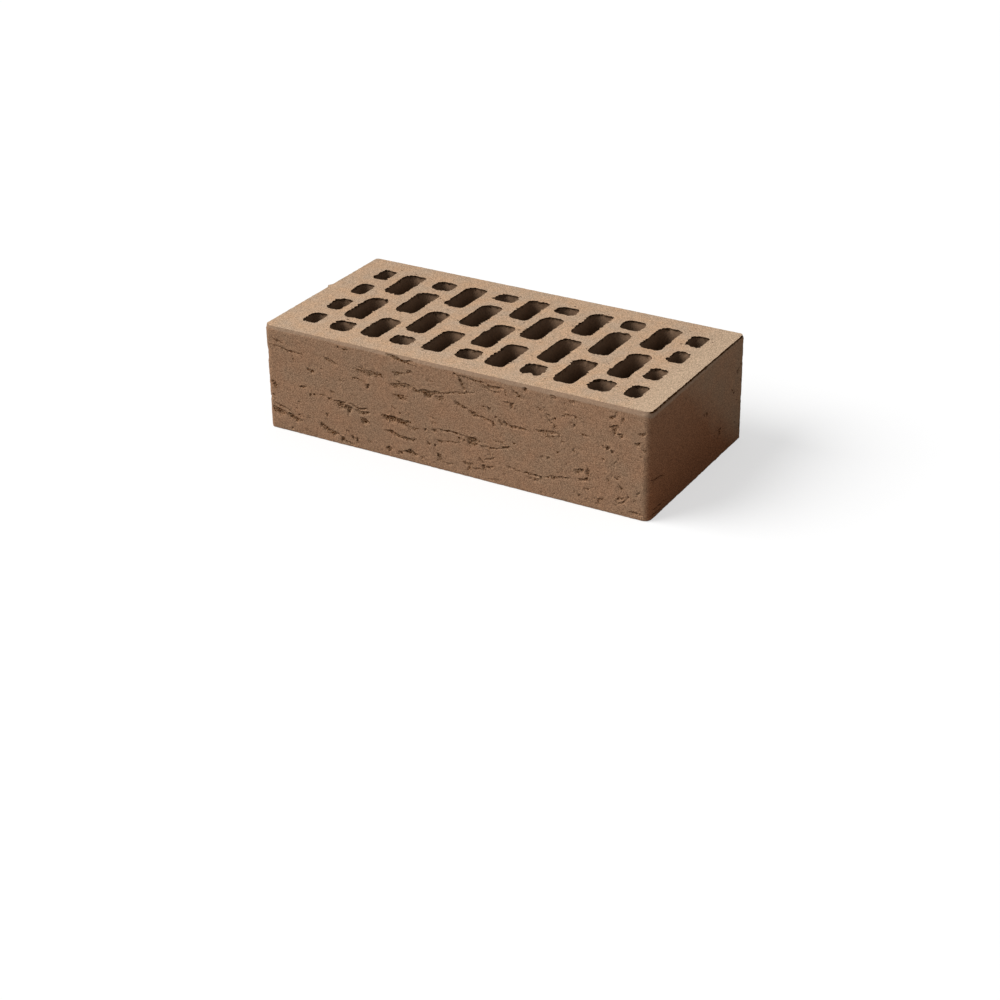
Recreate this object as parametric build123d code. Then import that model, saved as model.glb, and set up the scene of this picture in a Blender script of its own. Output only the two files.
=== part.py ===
from build123d import *
import os

# A hollow clay facing brick. It is one piece of clay: a column pressed through a die whose
# cores leave upright holes, cut to height by a wire, textured on its sides, dried and fired.
# The origin is the middle of the lower bed face. X runs along the brick, Y from the facing
# side to the back, and Z up along the holes. All lengths are in millimetres.

# The block.
length = 250.0
width = 120.0
height = 65.0
facing_corner_radius = 5.0
back_corner_radius = 2.5
arris_radius = 1.5

# The clay that is left around the holes and between them.
side_wall = 14.0
end_wall = 15.0
column_web = 7.4
slot_web = 10.5
cell_web = 7.0
end_cell_web = 11.0

# The holes. Each middle column has two slots and one short cell, which lies at the facing
# side and at the back by turns. A column of small cells closes each end.
middle_columns = 9
cells_per_end = 4
end_cell_width = 10.4
short_cell_length = 12.5
outer_slot_share = 0.484
slot_corner_radius = 3.5
end_cell_corner_radius = 2.5
cut_overrun = 2.0

# What follows from them: the cores fill the room that the walls and webs leave.
hole_field = width - 2 * side_wall
columns_room = length - 2 * (end_wall + end_cell_width) - (middle_columns + 1) * column_web
slot_width = columns_room / middle_columns
column_pitch = slot_width + column_web
slots_room = hole_field - short_cell_length - slot_web - cell_web
outer_slot_length = slots_room * outer_slot_share
inner_slot_length = slots_room - outer_slot_length
end_cell_length = (hole_field - (cells_per_end - 1) * end_cell_web) / cells_per_end
end_column_place = length / 2 - end_wall - end_cell_width / 2


def block():
    """The cut piece of column before its holes, with rounded corners and softened bed edges."""
    outline = Rectangle(length, width)
    outline = fillet(outline.vertices().group_by(Axis.Y)[0], facing_corner_radius)
    outline = fillet(outline.vertices().group_by(Axis.Y)[-1], back_corner_radius)
    column = extrude(outline, height)
    beds = column.faces().filter_by(Axis.Z)
    return fillet(beds.edges(), arris_radius)


def hole(x, near_y, size_x, size_y, radius):
    """One upright hole, from near_y towards the back, that runs past both bed faces."""
    outline = Pos(x, near_y + size_y / 2, -cut_overrun) * RectangleRounded(size_x, size_y, radius)
    return extrude(outline, height + 2 * cut_overrun)


def hole_column(x, size_x, lengths, webs, radius):
    """A row of holes across the brick, from the facing side to the back."""
    holes = []
    near_y = -hole_field / 2
    for size_y, web in zip(lengths, [*webs, 0]):
        holes.append(hole(x, near_y, size_x, size_y, radius))
        near_y += size_y + web
    return holes


def middle_holes():
    """The middle columns: every other one has its short cell at the back."""
    holes = []
    lengths = [short_cell_length, inner_slot_length, outer_slot_length]
    webs = [cell_web, slot_web]
    for number in range(middle_columns):
        x = (number - (middle_columns - 1) / 2) * column_pitch
        step = -1 if number % 2 else 1
        holes += hole_column(x, slot_width, lengths[::step], webs[::step], slot_corner_radius)
    return holes


def end_holes():
    """The column of small cells at each end."""
    holes = []
    lengths = [end_cell_length] * cells_per_end
    webs = [end_cell_web] * (cells_per_end - 1)
    for x in (-end_column_place, end_column_place):
        holes += hole_column(x, end_cell_width, lengths, webs, end_cell_corner_radius)
    return holes


clay_brick = block() - [*middle_holes(), *end_holes()]

os.makedirs("parts", exist_ok=True)
export_step(clay_brick, "parts/clay_brick.step")
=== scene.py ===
import math
import random

import bmesh
import bpy
import numpy as np
from mathutils import Matrix, Vector, noise


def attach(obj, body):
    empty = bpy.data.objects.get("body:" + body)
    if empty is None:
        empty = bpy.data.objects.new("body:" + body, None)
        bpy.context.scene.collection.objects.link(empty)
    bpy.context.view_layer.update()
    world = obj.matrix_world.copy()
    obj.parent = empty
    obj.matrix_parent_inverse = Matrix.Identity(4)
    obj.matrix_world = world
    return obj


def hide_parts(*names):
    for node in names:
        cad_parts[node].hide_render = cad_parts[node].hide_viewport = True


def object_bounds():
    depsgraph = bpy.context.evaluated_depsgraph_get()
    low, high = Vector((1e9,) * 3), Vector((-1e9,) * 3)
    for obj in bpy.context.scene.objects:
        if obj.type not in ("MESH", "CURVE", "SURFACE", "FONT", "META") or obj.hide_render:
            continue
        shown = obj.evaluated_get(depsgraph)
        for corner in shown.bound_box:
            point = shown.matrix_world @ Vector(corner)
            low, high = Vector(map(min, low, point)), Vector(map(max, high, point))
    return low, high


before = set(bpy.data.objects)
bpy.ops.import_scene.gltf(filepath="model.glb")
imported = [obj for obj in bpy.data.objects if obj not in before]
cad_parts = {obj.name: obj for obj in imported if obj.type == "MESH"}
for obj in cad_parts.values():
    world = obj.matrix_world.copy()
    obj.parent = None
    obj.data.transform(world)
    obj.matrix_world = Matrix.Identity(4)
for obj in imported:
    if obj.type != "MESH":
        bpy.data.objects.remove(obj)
cad_low, cad_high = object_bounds()

# The clay column: the brick's body, one piece of clay pressed through a die and cut to height by
# wires. Its corners come rounded from the die, more on the facing side than at the back. It starts
# as a block whose sides are divided finely enough to take the marks of the tearing rollers.
mm = 0.001
length = cad_high.x - cad_low.x
width = cad_high.y - cad_low.y
height = cad_high.z - cad_low.z
facing_corner_radius = 4 * mm
back_corner_radius = 2.5 * mm
facing_corner_steps = 9
back_corner_steps = 5
row_counts = (10, 20)
facing_counts = (8, 100)
back_counts = (4, 60)
end_counts = (2, 84)

bpy.ops.object.select_all(action="DESELECT")
bpy.ops.mesh.primitive_cube_add(size=1, location=(0, 0, height / 2), scale=(length, width, height))
brick = bpy.context.object
brick.name = "brick_body"
brick.data.name = "brick_body"
bpy.ops.object.transform_apply(location=True, rotation=False, scale=True)


def select_edges(wanted):
    """In edit mode, selects only the edges whose two ends pass the test."""
    bpy.ops.mesh.select_mode(type="EDGE")
    bpy.ops.mesh.select_all(action="DESELECT")
    shape = bmesh.from_edit_mesh(bpy.context.object.data)
    for edge in shape.edges:
        if wanted(edge.verts[0].co, edge.verts[1].co):
            edge.select_set(True)
    bmesh.update_edit_mesh(bpy.context.object.data)


def round_corners(wanted, radius, steps):
    """Rounds the upright corner edges that pass the test."""
    select_edges(lambda a, b: abs(a.z - b.z) > height / 2 and wanted(a))
    bpy.ops.mesh.bevel(offset=radius, segments=steps, affect="EDGES")


def divide(wanted, counts):
    """Divides every edge that passes the test, into counts[0] pieces, then those into counts[1]."""
    for count in counts:
        select_edges(wanted)
        bpy.ops.mesh.subdivide(number_cuts=count - 1)


bpy.ops.object.mode_set(mode="EDIT")
round_corners(lambda a: a.y < 0, facing_corner_radius, facing_corner_steps)
round_corners(lambda a: a.y > 0, back_corner_radius, back_corner_steps)
divide(lambda a, b: abs(a.z - b.z) > height / 20, row_counts)
divide(lambda a, b: abs(a.x - b.x) > length / 20 and a.y < 0, facing_counts)
divide(lambda a, b: abs(a.x - b.x) > length / 20 and a.y > 0, back_counts)
divide(lambda a, b: abs(a.y - b.y) > width / 3, end_counts)
bpy.ops.object.mode_set(mode="OBJECT")


def read_points(mesh, what):
    """The places or normals of a mesh's points, one row each."""
    flat = np.empty(len(mesh.vertices) * 3, np.float32)
    mesh.vertices.foreach_get(what, flat)
    return flat.reshape(-1, 3).astype(float)


def write_points(mesh, points):
    """Moves a mesh's points to these places."""
    mesh.vertices.foreach_set("co", points.astype(np.float32).ravel())
    mesh.update()


def noise_at(points, sizes, seed):
    """Smooth random values from about -1 to 1, with lumps of one size or of a size along each axis."""
    scaled = points / np.asarray(sizes) + seed
    return np.array([noise.noise(p) for p in scaled.tolist()])


def smooth_step(low, high, values):
    """0 up to low, 1 from high, and an even S curve between."""
    share = np.clip((values - low) / (high - low), 0, 1)
    return share * share * (3 - 2 * share)


# The torn facing side: while the clay is wet, rollers drag its skin along the brick and leave tears
# like bark. Each has a sharp, slightly raised upper lip and fades out below it. The tears are painted
# dark, partly for the torn clay and partly as painted shade under the lip and in the hollow. A line
# gives its depth, how far it reaches below the lip, and the lip's points along the brick and up it,
# all in mm.
tears = [
    (0.35, 0.9, (-119.5, 57.4), (-112, 56.3)),
    (0.45, 0.9, (-121.5, 54.3), (-113, 53.3), (-105.5, 52), (-98, 51.4)),
    (0.6, 1.1, (-110, 52.7), (-105.8, 52.3)),
    (0.5, 0.8, (-104.3, 48.2), (-104.7, 45.4)),
    (0.6, 1.2, (-95.6, 44.2), (-92.6, 43.3), (-90.8, 43.2)),
    (0.7, 1.5, (-93.2, 42.3), (-91, 42.9)),
    (0.65, 1.6, (-83.8, 53.6), (-79.5, 53), (-73.6, 50.6)),
    (0.35, 1.2, (-74, 41.8), (-71.3, 40.6)),
    (0.6, 1.0, (-73.8, 62.2), (-72.6, 61.6)),
    (0.5, 0.9, (-70.2, 60.8), (-66.4, 61.6)),
    (1.0, 2.0, (-122.4, 30.4), (-119.6, 30.2)),
    (0.9, 1.4, (-119.2, 30.6), (-117.4, 28.4), (-118.6, 25.6)),
    (0.8, 1.2, (-119.8, 28.6), (-119.2, 27.2)),
    (0.55, 1.2, (-101.3, 31), (-96.8, 31.4)),
    (1.0, 1.7, (-94.8, 27.6), (-93.2, 27.5)),
    (0.6, 0.9, (-92.2, 27.9), (-90.2, 27.8)),
    (0.35, 0.9, (-88, 28.6), (-83.4, 29.2)),
    (0.7, 1.0, (-81.8, 27.3), (-79.4, 27.7)),
    (0.85, 1.2, (-78.4, 27.1), (-74, 27.7), (-69.6, 27.6)),
    (0.8, 3.0, (-76, 26.7), (-70, 26.2), (-65.5, 25.6)),
    (1.3, 3.2, (-69, 25), (-65.8, 25)),
    (0.7, 1.0, (-67.4, 28.2), (-65, 27.8), (-61.6, 26.2), (-54.4, 27)),
    (0.8, 1.9, (-64, 24.6), (-59, 24.6), (-53, 24.7)),
    (0.9, 1.6, (-84, 17.6), (-82.2, 17.5)),
    (0.35, 1.0, (-104, 20.8), (-101.2, 20.9)),
    (0.5, 0.8, (-121.6, 22.4), (-119.6, 21)),
    (0.45, 0.8, (-121.2, 20.2), (-118.8, 18.8)),
    (0.45, 1.0, (-55.4, 6.8), (-53.2, 6.2)),
    (0.5, 1.6, (-34.6, 4.8), (-31, 5)),
    (0.6, 1.0, (-121.6, 17.3), (-115, 15.4), (-108.4, 13.2)),
    (0.85, 3.0, (-122.2, 13.8), (-115.4, 12.9), (-112, 11.8)),
    (0.9, 1.4, (-117, 12.2), (-114.6, 11.4)),
    (1.2, 2.6, (-112, 12), (-107.6, 11.2), (-101.8, 8.4)),
    (0.9, 1.9, (-87.6, 10.6), (-85.6, 10)),
    (0.8, 2.8, (-86.4, 9.6), (-80, 7.8), (-75.2, 6)),
    (0.9, 1.2, (-81, 6.8), (-77, 5.8)),
    (1.2, 2.4, (-74, 4.8), (-71.4, 4.6)),
    (0.8, 1.0, (-71.6, 3.6), (-65, 1.7)),
    (0.9, 1.6, (-66.8, 7.3), (-63.8, 6.6)),
    (0.6, 0.8, (-62.2, 7.2), (-62.4, 4)),
    (0.6, 1.0, (-103.4, 13), (-102.2, 12.6)),
    (0.5, 0.8, (-102.4, 11.4), (-101.4, 11.3)),
    (0.5, 0.8, (-100, 11.8), (-99.2, 11.6)),
    (0.5, 0.8, (-96.8, 12), (-95.4, 11.8)),
    (0.6, 1.0, (-109.2, 2.9), (-107.8, 2.8)),
    (0.5, 1.6, (-79.8, 33), (-76.8, 33)),
    (0.45, 2.2, (-63.8, 50.3), (-52, 50.4), (-41.4, 50)),
    (0.4, 0.8, (-61, 52.4), (-52, 51.4), (-42.6, 50.9)),
    (0.7, 1.4, (-47.8, 49.7), (-46.2, 49.6)),
    (0.45, 0.9, (-65.2, 45.2), (-60, 44.2), (-55.8, 43.4)),
    (0.85, 2.0, (-55, 42.8), (-52.4, 42.5)),
    (1.0, 1.6, (-40.6, 64.2), (-36, 64), (-31, 63), (-23, 62.9)),
    (0.35, 0.8, (-26, 61.2), (-19, 61)),
    (0.8, 1.4, (-25.8, 57.3), (-23.2, 57.5)),
    (0.4, 0.8, (-26.4, 56.4), (-25.4, 56)),
    (0.45, 1.2, (-36.6, 54.3), (-31, 54.4), (-26, 55)),
    (0.4, 2.4, (-35, 53.8), (-32, 53.6)),
    (0.35, 0.9, (-14.6, 54), (-10.2, 53.8)),
    (0.6, 1.0, (-34.4, 49.2), (-32, 49)),
    (0.55, 2.2, (-39, 46.5), (-33, 47.3), (-26, 48.9)),
    (0.55, 2.4, (-32, 48.2), (-27, 48.7), (-22, 47.4)),
    (0.55, 2.2, (-24, 47.2), (-20.6, 46.8), (-17.4, 45.8)),
    (0.9, 4.0, (-18.4, 46.8), (-14.6, 48.2), (-9, 47.4)),
    (0.8, 1.4, (-16.4, 44.6), (-11, 44.4)),
    (0.7, 1.2, (-10.6, 47.7), (-5.8, 47.9)),
    (0.4, 2.6, (-9.6, 45), (-3, 46.4)),
    (0.45, 0.9, (-5.8, 47.6), (0, 49.4), (6, 51), (11.6, 51.8), (16.4, 52.8)),
    (0.45, 1.8, (-37.6, 40.5), (-33.5, 40.3), (-28.2, 41.5)),
    (0.45, 1.6, (-35.2, 39.6), (-27, 39.6)),
    (0.4, 0.9, (-38.2, 32.6), (-35, 30.8)),
    (0.4, 0.8, (-33, 30.2), (-31.4, 29.9)),
    (0.35, 0.8, (-14, 32), (-8, 31.2)),
    (0.35, 0.9, (-11.5, 29.2), (-7.8, 28.6)),
    (1.25, 3.2, (-44.8, 25.6), (-39, 26.3), (-33, 25.9), (-25.4, 25)),
    (0.8, 1.6, (-34, 24.6), (-29, 25.2)),
    (0.35, 1.6, (-30, 23.4), (-20, 22)),
    (0.8, 1.1, (-16.6, 23.6), (-15.2, 23.5)),
    (0.7, 1.2, (-11.8, 24), (-8.4, 24.9)),
    (0.6, 0.9, (-7, 25.4), (2, 25.6), (11, 25.4)),
    (0.8, 1.0, (1.4, 25.8), (2.6, 25.7)),
    (1.15, 3.4, (-59.4, 20.2), (-55.5, 20.2), (-53.4, 18.6)),
    (0.95, 1.6, (-43.8, 16.4), (-38.4, 16.9), (-33.4, 15.5), (-27.5, 14.7), (-22, 15.1)),
    (0.7, 1.2, (-15.2, 15.8), (-12.8, 15)),
    (0.8, 1.2, (-10.3, 14.5), (-9.2, 14.4)),
    (0.6, 0.9, (-8.8, 18.2), (-4, 18.7)),
    (0.4, 0.7, (-4, 18.7), (2, 19.4), (8, 20.3)),
    (1.05, 3.4, (-42.8, 5.6), (-40.4, 6.4), (-38.4, 5.4)),
    (1.35, 2.4, (-30.6, 5.7), (-26.4, 7.6), (-21.2, 5.9)),
    (0.9, 1.4, (-8.2, 9.6), (-6.2, 9.2)),
    (0.9, 1.5, (-5.4, 8.8), (-5.8, 5.6)),
    (0.6, 1.2, (-8.6, 6), (-6.4, 5.6)),
    (0.35, 0.8, (-7, 4.4), (-1, 5.1), (3.4, 5.7)),
    (0.45, 1.0, (-20, 5), (-18, 4.8)),
    (0.6, 1.0, (3.8, 62.4), (6.4, 61.4)),
    (0.9, 1.3, (7.2, 60.8), (8.4, 58.4), (11.9, 52.6)),
    (0.5, 1.0, (7.4, 61.6), (16, 60.8), (24, 60.2)),
    (0.75, 1.2, (24, 60.1), (29, 59.6), (35.4, 59.3)),
    (0.6, 1.3, (20.6, 58.8), (24.6, 58), (28, 57)),
    (0.4, 0.9, (28, 56.8), (33, 56.4)),
    (0.5, 0.9, (37.4, 58.6), (36.6, 55.8)),
    (0.65, 1.8, (40.4, 60.2), (44, 58.6), (48.2, 56.6)),
    (1.0, 2.0, (48.2, 63), (50.4, 62.8)),
    (0.7, 1.1, (35.4, 52.1), (39.4, 52.2)),
    (1.0, 1.6, (39.8, 52.5), (42, 52.4)),
    (0.6, 0.9, (41.2, 50.4), (40.8, 48.4)),
    (1.1, 1.6, (4.2, 45), (8, 43.6), (12.2, 42.4)),
    (0.7, 1.6, (12.2, 42), (17, 40.4), (20.5, 39.6)),
    (0.5, 1.5, (20.5, 39.6), (26, 39), (28.2, 38)),
    (0.7, 1.0, (28.6, 38.4), (29.2, 35.4)),
    (0.4, 0.9, (15, 42), (20, 41)),
    (0.5, 1.3, (21.4, 46.4), (24, 46)),
    (0.75, 1.8, (24.8, 46.5), (27.2, 46.2)),
    (0.8, 1.2, (30.4, 42.3), (31.6, 41.9)),
    (0.9, 1.5, (35.6, 40.6), (37.4, 39), (38.6, 38.2)),
    (0.85, 1.2, (38.6, 38.2), (44, 38.4), (50.6, 38.2)),
    (0.5, 1.4, (32, 40.6), (36.2, 37)),
    (0.7, 1.5, (55.4, 39.2), (60, 39.8), (66, 40.6), (70.8, 40.5)),
    (0.45, 2.2, (60, 38), (70, 38)),
    (0.95, 4.4, (11.2, 25), (16, 25.1), (19.8, 23.4)),
    (0.6, 1.3, (6, 23), (8.2, 22.6)),
    (0.8, 1.1, (9, 22.3), (10.2, 22.2)),
    (0.55, 0.8, (18.6, 21.2), (27, 21.5), (33, 22.8)),
    (0.85, 1.1, (33, 22.6), (36, 24), (38.8, 25.6)),
    (0.35, 0.8, (28, 26.8), (36, 26.5)),
    (0.55, 1.0, (41, 28.4), (42.4, 28.3)),
    (0.45, 0.9, (43.4, 28), (44.6, 27.8)),
    (0.45, 0.9, (58.4, 24.2), (61.2, 24)),
    (0.8, 1.3, (62.6, 24.5), (64.2, 24.4)),
    (0.7, 1.1, (19.4, 13.8), (21, 12.4), (22.8, 11)),
    (0.95, 1.2, (23.4, 10.4), (22.2, 6.6)),
    (0.55, 0.8, (23, 13.2), (26, 14.6), (29.4, 16.6)),
    (0.5, 0.9, (23.6, 9.2), (29.4, 10.2)),
    (0.5, 0.8, (25.6, 19.6), (26.8, 17.2)),
    (0.95, 1.6, (9, 9), (12, 8.8), (14.8, 8.8)),
    (0.4, 3.2, (11.4, 7), (15, 6.6)),
    (0.4, 0.8, (15.2, 6.2), (19, 6.6), (23, 7)),
    (0.55, 1.4, (37.4, 13), (40, 12.8)),
    (0.5, 1.1, (41, 12.8), (46, 11.6)),
    (0.65, 1.3, (47.8, 11), (50, 12), (55, 11.9), (59, 11.6)),
    (0.9, 1.2, (58.2, 11.4), (59.4, 11.3)),
    (0.6, 0.9, (55.8, 9.2), (59.4, 10.9)),
    (0.5, 0.8, (60.4, 11.8), (64, 12.8)),
    (0.85, 1.5, (64.2, 13.4), (68, 13.9)),
    (0.75, 1.0, (68, 13.6), (72.6, 14.6), (77.2, 15.2)),
    (0.4, 0.9, (25, 2), (33, 2.8)),
    (0.35, 2.0, (50, 10), (58, 9.4)),
    (0.55, 1.5, (64.6, 62), (69, 61.4)),
    (0.5, 1.6, (76, 61.6), (80, 62)),
    (0.5, 0.9, (73, 59.2), (74.2, 58.9)),
    (0.65, 1.0, (66, 47.6), (68.4, 50.2)),
    (0.5, 0.9, (62, 50.6), (65.6, 50.1)),
    (0.85, 1.3, (78.8, 48.4), (80.2, 48)),
    (0.5, 0.9, (77, 48.8), (77.8, 48.4)),
    (0.55, 0.9, (61.5, 49.4), (65, 46.2), (69.5, 42.6)),
    (0.4, 0.8, (65.6, 44.6), (71.6, 41.6)),
    (0.4, 1.6, (56, 53.4), (61, 52.6)),
    (0.4, 1.4, (72, 53), (79, 53.4), (85, 52.6)),
    (0.4, 1.2, (84, 44), (89, 43.2)),
    (0.6, 0.9, (70.9, 40.2), (70.5, 37.8)),
    (0.75, 1.2, (100.4, 57), (102.2, 59), (104.2, 59.4)),
    (0.6, 1.0, (104.2, 61.4), (106.2, 60.2)),
    (0.7, 1.0, (109.2, 59.2), (109.3, 57.2), (107.4, 55)),
    (1.05, 3.6, (100.9, 52.2), (103.4, 53.4), (106, 53.6)),
    (0.7, 2.2, (103, 50.2), (105.6, 49.6)),
    (0.95, 2.2, (105.6, 48.4), (109.2, 49)),
    (0.65, 1.2, (117.2, 51), (119, 52), (122.4, 53)),
    (0.85, 1.7, (115.8, 45.6), (118.8, 46.8)),
    (0.65, 1.3, (120.2, 42), (122.4, 42.8)),
    (0.5, 0.8, (119.6, 39), (120.2, 37.8)),
    (0.95, 1.9, (99.2, 40), (101, 39.4)),
    (0.9, 1.8, (102.2, 38.4), (104.2, 38)),
    (0.45, 1.4, (96, 39.6), (99, 39.4)),
    (0.4, 1.2, (96.2, 32), (97.4, 31.8)),
    (0.4, 0.9, (103.8, 31.4), (104.8, 31.2)),
    (0.55, 0.8, (79.4, 33.4), (79.3, 30.8)),
    (0.4, 0.8, (81.4, 31.3), (82.2, 31)),
    (0.35, 0.9, (67.6, 29.2), (69.8, 29.2)),
    (0.75, 2.6, (79.6, 21.4), (83, 21.4)),
    (1.0, 1.6, (83.4, 22.2), (84.9, 22.2)),
    (0.85, 1.3, (87.5, 24), (88.6, 21.4), (87.8, 18.6)),
    (0.85, 1.3, (81.4, 15.8), (85.2, 16.6), (87.8, 18.8)),
    (0.35, 1.2, (72.3, 20.4), (72.6, 17)),
    (0.65, 1.2, (100.6, 21), (100.4, 17.4)),
    (0.5, 1.0, (102.6, 23), (107.2, 21.2)),
    (0.45, 0.9, (105, 23.2), (107.8, 23.2)),
    (0.75, 1.3, (106.8, 18.2), (109.9, 16)),
    (0.8, 1.3, (112, 13.2), (113.2, 12.8)),
    (0.5, 0.9, (116.8, 15.2), (119.4, 17.2)),
    (0.6, 0.9, (117.2, 14.6), (118.3, 14.3)),
    (0.7, 1.3, (115.8, 11.2), (117.3, 10.9)),
    (0.5, 1.0, (104.8, 8.6), (106.4, 10.9), (110.4, 11.2)),
    (0.55, 1.0, (104.6, 8), (108.4, 8.1), (110.8, 10.4)),
    (0.8, 1.4, (93.4, 6.4), (95.2, 7)),
    (0.6, 1.0, (94.6, 5.6), (94.2, 4.4)),
    (0.5, 0.9, (97.6, 8.4), (97, 6)),
    (0.8, 1.2, (82.1, 6.8), (83.3, 6.7)),
    (0.5, 0.9, (79.4, 7.6), (80.4, 7.4)),
    (0.65, 1.3, (113.6, 4), (117, 4.4), (120.8, 4)),
    (0.35, 1.2, (86, 4.8), (90.4, 5)),
]
lip_width = 0.25 * mm
tear_end = 0.8 * mm
taper_share = 0.25
least_taper = 0.12
reach_stretch = 1.6
even_reach_share = 0.45
whole_tear_depth = 0.6 * mm
broken_tear_depth = 0.1 * mm
bold_tear_depth = 0.95 * mm
lip_shade = 0.45 * mm
floor_shade = 0.42
faint_shade = 0.35
bold_shade = 0.85
ridge_share = 0.3
ridge_place = 0.6 * mm
ridge_width = 0.4 * mm
edge_wanders = ((4.5 * mm, 0.8 * mm), (1.4 * mm, 0.3 * mm))
rough_size = (1.6 * mm, 1.6 * mm, 1.1 * mm)
grit_size = (1.7 * mm, 1.7 * mm, 1.2 * mm)
fading_size = (3.5 * mm, 3.5 * mm, 2.5 * mm)


def nearest_on_line(x, z, line):
    """For each point: its distance above the line, how far past the ends, and its share of the way."""
    best = np.full(len(x), np.inf)
    above = np.zeros(len(x))
    past = np.zeros(len(x))
    share = np.zeros(len(x))
    lengths = [math.dist(a, b) for a, b in zip(line, line[1:])]
    walked = 0.0
    for (ax, az), (bx, bz), run in zip(line, line[1:], lengths):
        dx = (bx - ax) / run
        dz = (bz - az) / run
        along = (x - ax) * dx + (z - az) * dz
        across = (z - az) * dx - (x - ax) * dz
        over = np.maximum(0, np.maximum(-along, along - run))
        distance = np.hypot(across, over)
        nearer = distance < best
        best[nearer] = distance[nearer]
        above[nearer] = across[nearer]
        past[nearer] = over[nearer]
        share[nearer] = (walked + np.clip(along[nearer], 0, run)) / sum(lengths)
        walked += run
    return above, past, share


def tear_skin(marks, x, z, rough, grit, fading):
    """At each point: how deep the tears are, how dark they are painted for torn clay and shade, and how
    high their lips stand.
    """
    depths = np.zeros(len(x))
    stains_and_shades = np.zeros(len(x))
    ridges = np.zeros(len(x))
    for depth, reach, *line in marks:
        depth = depth * mm
        reach = reach * reach_stretch * mm
        line = [(a * mm, b * mm) for a, b in line]
        margin = reach + 2 * tear_end
        xs = [a for a, b in line]
        zs = [b for a, b in line]
        near = (x > min(xs) - margin) & (x < max(xs) + margin)
        near &= (z > min(zs) - margin) & (z < max(zs) + margin)
        above, past, share = nearest_on_line(x[near], z[near], line)
        taper = np.sqrt(np.clip(np.minimum(share, 1 - share) / taper_share, least_taper, 1))
        ending = 1 - smooth_step(0, tear_end, past)
        wall = 1 - smooth_step(0, lip_width, above)
        ramp = 1 - smooth_step(even_reach_share * reach, reach, -above / np.maximum(taper, 0.3))
        shape = np.where(above > 0, wall, ramp) * ending
        whole = smooth_step(broken_tear_depth, whole_tear_depth, depth)
        body = whole * (0.8 + 0.8 * rough[near]) + (1 - whole) * 1.2 * grit[near]
        depths[near] = np.maximum(depths[near], depth * taper * shape * body)
        # The dark line under each lip and the darker hollow floor are painted shade, laid over the darker
        # torn clay.
        lip = np.exp(-(np.minimum(above, 0) / lip_shade) ** 2) * fading[near]
        shade = np.where(above > 0, wall * fading[near], np.maximum(lip, floor_shade * ramp)) * ending
        strength = faint_shade + bold_shade * min(1, depth / bold_tear_depth)
        stains_and_shades[near] = np.maximum(stains_and_shades[near], strength * np.sqrt(taper) * shade)
        ridge = np.exp(-(((above - ridge_place) / ridge_width) ** 2)) * ending
        ridges[near] = np.maximum(ridges[near], ridge_share * depth * taper * ridge * grit[near])
    return np.maximum(depths, 0), np.maximum(stains_and_shades, 0), ridges


skin = read_points(brick.data, "co")
outward = read_points(brick.data, "normal") * (1, 1, 0)
outward /= np.linalg.norm(outward, axis=1)[:, None]
facing = smooth_step(0.2, 0.9, -outward[:, 1])
wander = np.zeros((len(skin), 3))
for number, (size, swing) in enumerate(edge_wanders):
    for axis in range(3):
        wander[:, axis] += swing * noise_at(skin, size, seed=11.5 + 7 * axis + number)
wandering = skin + wander
rough = noise_at(skin, rough_size, seed=5.5)
fading = 0.55 + 0.45 * smooth_step(-0.3, 0.4, noise_at(skin, fading_size, seed=35.5))
grit = smooth_step(-0.1, 0.35, noise_at(skin, grit_size, seed=8.5))
deep = np.zeros(len(skin))
stain_and_shade = np.zeros(len(skin))
raised = np.zeros(len(skin))


def tear_side(marks, chosen, axis):
    """Puts marks on the chosen points of the skin. Their places run along this axis and up."""
    deep[chosen], stain_and_shade[chosen], raised[chosen] = tear_skin(
        marks, wandering[chosen, axis], wandering[chosen, 2], rough[chosen], grit[chosen], fading[chosen]
    )


tear_side(tears, facing > 0, axis=0)
deep *= facing
raised *= facing
paler_to_right = 1 - 0.25 * smooth_step(-10 * mm, 75 * mm, skin[:, 0])
stain_and_shade *= facing * paler_to_right

# The right end: it slid through the die without the rollers, so it is smooth, with one hair crack,
# two faint drag lines near the lower bed and pits where grit pulled out, most of them towards the
# back. Each line is as above, with places from front to back and up.
end_marks = [
    (0.75, 0.7, (-59, 24.4), (-52, 23.2), (-47, 22.7), (-42, 20.6)),
    (0.3, 0.8, (-57, 5.6), (-45, 5.3), (-37, 4.7)),
    (0.3, 0.7, (-58, 2.8), (-40, 2.6)),
    (0.7, 1.2, (-18, 56.8), (-15.6, 56.6)),
    (0.5, 0.9, (-13, 54.9), (-11.4, 54.7)),
    (0.9, 1.6, (7.2, 36.8), (9, 36.4)),
    (0.9, 1.9, (10.4, 36.4), (12.6, 36)),
    (0.6, 1.0, (11, 34.2), (12.4, 34)),
    (1.4, 2.2, (49.8, 45.6), (54, 46.6)),
    (0.7, 1.5, (44.4, 36.4), (46.2, 35.6)),
    (0.7, 1.3, (46.6, 34.2), (48.6, 33.4)),
    (0.5, 1.6, (21, 19), (23, 18.8)),
    (0.6, 1.2, (22.4, 16.4), (24, 16)),
    (0.5, 1.2, (25.2, 18.6), (26.6, 18.4)),
    (0.6, 1.1, (25, 14.2), (26.6, 14)),
    (1.1, 1.9, (27.8, 18), (31.4, 17)),
    (0.9, 1.4, (28.4, 15.6), (31.2, 14.8)),
    (0.4, 1.0, (49.5, 14), (51, 13.8)),
    (0.4, 1.0, (51, 28), (52.5, 27.6)),
    (0.7, 1.4, (55.6, 49), (57.6, 48.6)),
    (0.6, 1.6, (56, 39), (57.8, 38.6)),
    (0.6, 1.2, (56.4, 22), (57.8, 21.8)),
    (0.7, 1.6, (55.8, 9.4), (57.6, 9.2)),
]
tear_side(end_marks, outward[:, 0] > 0.7, axis=1)

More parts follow.
